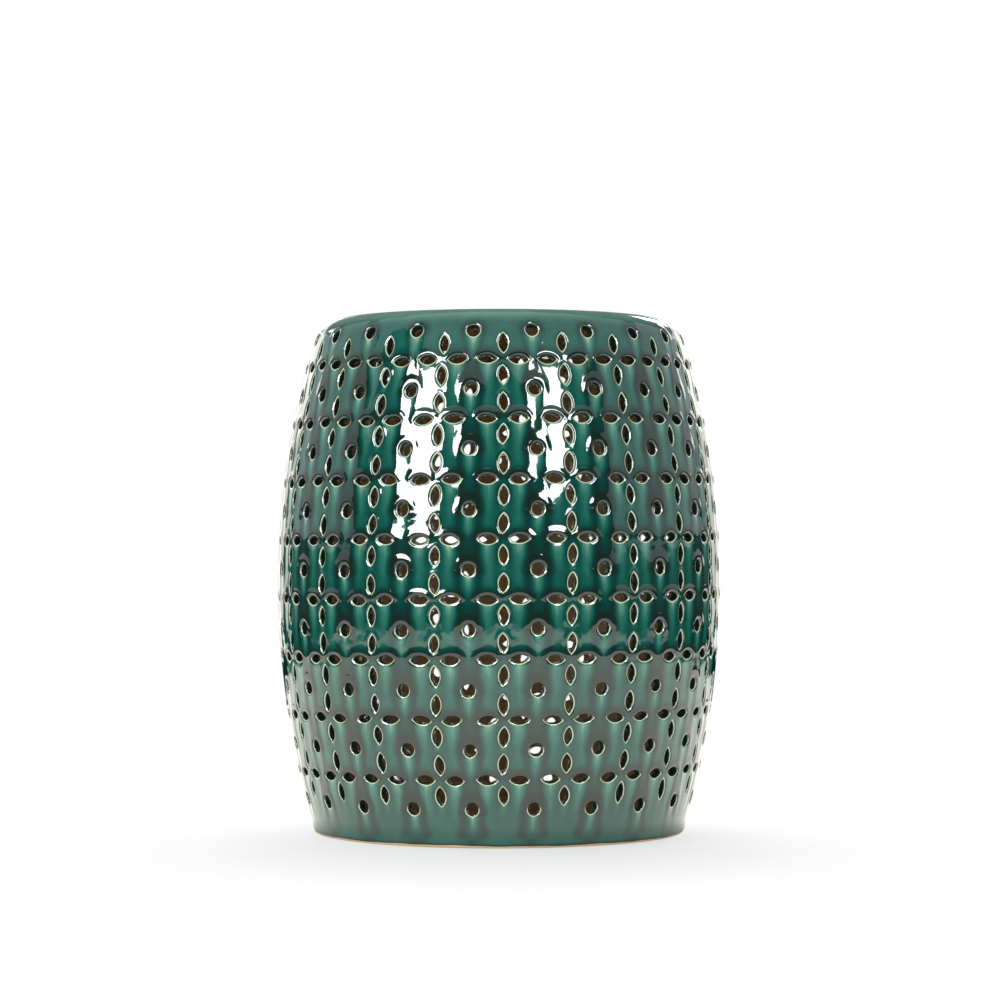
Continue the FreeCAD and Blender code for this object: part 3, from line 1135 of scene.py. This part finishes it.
def make_clay_finish():
    """Bare fired clay, warm brown, with fine grog."""
    material, wires, surface, place = new_finish("bare clay")
    wires.join(surface.inputs["Base Color"], clay_colour(wires, place))
    surface.inputs["Roughness"].default_value = CLAY_ROUGHNESS
    grain = wires.noise(place, 1500.0, 3.0, 0.6) + wires.noise(place, 240.0, 2.0) * 0.7
    bump = wires.node("ShaderNodeBump", {"Height": grain, "Strength": 0.35, "Distance": CLAY_BUMP})
    wires.join(surface.inputs["Normal"], bump)
    return material


wall_finish = make_wall_finish()
seat_finish = make_seat_finish()
clay_finish = make_clay_finish()
gallery = turned_piece("gallery", gallery_section, GALLERY_STEPS, clay_finish)
dressed_pieces = [(piece, "pierced_wall", "teal_glaze") for piece in make_wall(wall_finish)]
seat_top = make_seat(seat_finish)
foot = turned_piece("foot", foot_section, FOOT_STEPS, wall_finish)
seat_coil = turned_piece("seat_coil", seat_coil_section, COIL_STEPS, clay_finish)
foot_coil = turned_piece("foot_coil", foot_coil_section, COIL_STEPS, clay_finish)
dressed_pieces += [
    (gallery, "pierced_wall", "bare_stoneware"),
    (seat_top, "seat_slab", "teal_glaze"),
    (foot, "foot_ring", "teal_glaze"),
    (seat_coil, "seat_luting_coil", "bare_stoneware"),
    (foot_coil, "foot_luting_coil", "bare_stoneware"),
]
for piece, node, slot in dressed_pieces:
    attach(piece, "root")
    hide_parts(node)


# Studio: a white table and backdrop, two soft lamps, and a dark side behind the camera.
STOOL_MIDDLE = Vector((0.0, 0.0, 0.28))
CAMERA_DISTANCE = 2.779
CAMERA_HEIGHT = 0.2616
CAMERA_PITCH = math.radians(0.744)
CAMERA_ASIDE = 0.0009
LENS = 110.84
WORLD_LEVEL = 0.55
WORLD_MIRRORED = 0.9
TABLE_HALF = 8.0
TABLE_COLOUR = 0.86
TABLE_GAIN = 1.22
TABLE_MIRRORED = 2.05
TABLE_BOUNCE = 2.2
SOFTBOX_DISTANCE = 2.0
SOFTBOX_LEVEL = 28.0
LAMP_WIDTH = 1.2
LAMP_HEIGHT = 1.0

# Bent cards that only the glaze mirrors: distance, turns in degrees to the right of the
# camera, heights, level and, where it isn't white, tint.
WHITE = (1.0, 1.0, 1.0)
CREAM = (1.0, 0.98, 0.9)
CURVED_CARDS = {
    "dark_side": (3.4, (-78, 60), (0.0, 2.3), 0.02),
    "dark_left": (3.4, (-140, -78), (0.0, 0.46), 0.05),
    "dark_right": (3.4, (60, 140), (0.0, 0.46), 0.05),
    "dark_corner": (3.4, (-76, -52), (2.2, 4.4), 0.03),
    "gap_left": (3.4, (-142, -133), (0.4, 0.85), 0.4),
    "gap_right": (3.4, (133, 142), (0.4, 0.85), 0.4),
    "bright_left": (3.2, (-157, -140), (0.75, 1.35), 2.9, CREAM),
    "bright_right": (3.2, (140, 157), (0.75, 1.35), 2.9, CREAM),
    "rim_left": (3.2, (-171, -157), (0.75, 1.45), 1.9, CREAM),
    "rim_right": (3.2, (157, 171), (0.75, 1.45), 1.9, CREAM),
    "bright_back": (3.3, (142, 218), (0.0, 1.5), 1.6, CREAM),
    "dark_top": (3.2, (171, 189), (0.9, 1.5), 0.3),
    "dark_above": (3.2, (138, 222), (1.5, 5.0), 0.3),
}
CARD_STEPS = 24


def flat_piece(name, half_w, half_h):
    """Level rectangle about the origin."""
    corners = [(-half_w, -half_h, 0), (half_w, -half_h, 0), (half_w, half_h, 0), (-half_w, half_h, 0)]
    return mesh_piece(name, corners, [(0, 1, 2, 3)])


def mirrored_only(card, level, tint=WHITE):
    """Lets a card be seen only as a reflection in the glaze."""
    material = bpy.data.materials.new(card.name)
    wires = emptied(material)
    glow = wires.node("ShaderNodeEmission", {"Color": (*tint, 1), "Strength": level})
    wires.node("ShaderNodeOutputMaterial", {0: glow})
    card.data.materials.append(material)
    card.visible_camera = False
    card.visible_diffuse = False
    card.visible_shadow = False
    card.visible_transmission = False


def curved_card(name, distance, turns, heights, level, tint=WHITE):
    """Upright mirrored card bent round the stool."""
    first, last = (math.radians(turn) for turn in turns)
    verts, faces = [], []
    for step in range(CARD_STEPS + 1):
        turn = first + (last - first) * step / CARD_STEPS
        x, y = distance * math.sin(turn), -distance * math.cos(turn)
        verts += [(x, y, height) for height in heights]
        if step:
            at = 2 * step
            faces.append((at - 2, at, at + 1, at - 1))
    mirrored_only(mesh_piece(name, verts, faces), level, tint)


def aimed_card(name, distance, azimuth, lift, wide, tall, level):
    """Flat mirrored card facing the stool, its angles in degrees as the stool sees them."""
    azimuth, lift = math.radians(azimuth), math.radians(lift)
    flat = distance * math.cos(lift)
    offset = (flat * math.sin(azimuth), -flat * math.cos(azimuth), distance * math.sin(lift))
    spot = STOOL_MIDDLE + Vector(offset)
    halves = (distance * math.tan(math.radians(angle / 2)) for angle in (wide, tall))
    card = flat_piece(name, *halves)
    card.location = spot
    card.rotation_euler = (STOOL_MIDDLE - spot).to_track_quat("Z", "Y").to_euler()
    mirrored_only(card, level)
    return spot


def softbox(name, azimuth, lift, wide, tall, power):
    """A soft lamp, and the bright face of it that the glaze mirrors."""
    spot = aimed_card(name + "_face", SOFTBOX_DISTANCE, azimuth, lift, wide, tall, SOFTBOX_LEVEL)
    lamp = bpy.data.lights.new(name, "AREA")
    lamp.shape = "RECTANGLE"
    lamp.size = LAMP_WIDTH
    lamp.size_y = LAMP_HEIGHT
    lamp.energy = power
    holder = new_piece(name, lamp)
    holder.location = spot
    holder.rotation_euler = (spot - STOOL_MIDDLE).to_track_quat("Z", "Y").to_euler()
    holder.visible_glossy = False


def ray_kinds(wires):
    """Whether a ray sees the backdrop itself, and whether it comes off the glaze."""
    rays = wires.node("ShaderNodeLightPath").outputs
    seen = wires.math("MAXIMUM", rays["Is Camera Ray"], rays["Is Transmission Ray"])
    return seen, Field(wires, rays["Is Glossy Ray"])


def make_table():
    """White table, whose colour runs out to white away from the stool and its shadow."""
    table = flat_piece("table", TABLE_HALF, TABLE_HALF)
    material = bpy.data.materials.new("white table")
    wires = emptied(material)
    seen, mirrored = ray_kinds(wires)
    other = 1 - seen - mirrored
    x, y, _ = wires.split(wires.node("ShaderNodeTexCoord").outputs["Object"])
    reach = wires.length(x, y)
    level = TABLE_COLOUR * (1 + seen * (TABLE_GAIN - 1))
    body = wires.node("ShaderNodeBsdfDiffuse", {"Color": wires.vector(level, level, level)})
    near = reach.fall(1.5, 1.8) * TABLE_MIRRORED
    strength = seen + mirrored * near + other * TABLE_BOUNCE
    tint = wires.vector(1.0, 1 - mirrored * 0.02, 1 - mirrored * 0.12)
    glow = wires.node("ShaderNodeEmission", {"Color": tint, "Strength": strength})
    shade_here = wires.length(x, y + 0.2).fall(0.08, 0.36)
    clear = reach.rise(0.16, 0.2) * 0.86 + reach.rise(0.2, 0.32) * 0.14
    away = seen * (1 - 0.7 * shade_here) + (mirrored + other * 0.3) * clear
    both = wires.node("ShaderNodeMixShader", {0: away, 1: body, 2: glow})
    wires.node("ShaderNodeOutputMaterial", {0: both})
    table.data.materials.append(material)


def make_world():
    world = bpy.data.worlds.new("studio")
    bpy.context.scene.world = world
    wires = emptied(world)
    seen, mirrored = ray_kinds(wires)
    strength = WORLD_LEVEL + seen * (1 - WORLD_LEVEL) + mirrored * (WORLD_MIRRORED - WORLD_LEVEL)
    back = wires.node("ShaderNodeBackground", {"Color": (*WHITE, 1), "Strength": strength})
    wires.node("ShaderNodeOutputWorld", {0: back})


def make_camera():
    lens = bpy.data.cameras.new("camera")
    lens.sensor_width = 36.0
    lens.lens = LENS
    lens.clip_end = 50.0
    camera = new_piece("camera", lens)
    camera.location = (CAMERA_ASIDE, -CAMERA_DISTANCE, CAMERA_HEIGHT)
    camera.rotation_euler = (math.pi / 2 + CAMERA_PITCH, 0, 0)
    bpy.context.scene.camera = camera


make_table()
make_world()
for name, card in CURVED_CARDS.items():
    curved_card(name, *card)
aimed_card("right_strip", 2.7, 158.5, 28.5, 7.0, 11.0, 12.0)
aimed_card("left_strip", 2.7, -143.5, 27.0, 3.0, 7.0, 9.0)
softbox("left_softbox", -41.5, 19.5, 23.0, 25.0, 14.0)
softbox("right_softbox", 28.5, 22.7, 14.0, 21.0, 9.0)
make_camera()
bpy.context.scene.view_settings.view_transform = "Standard"
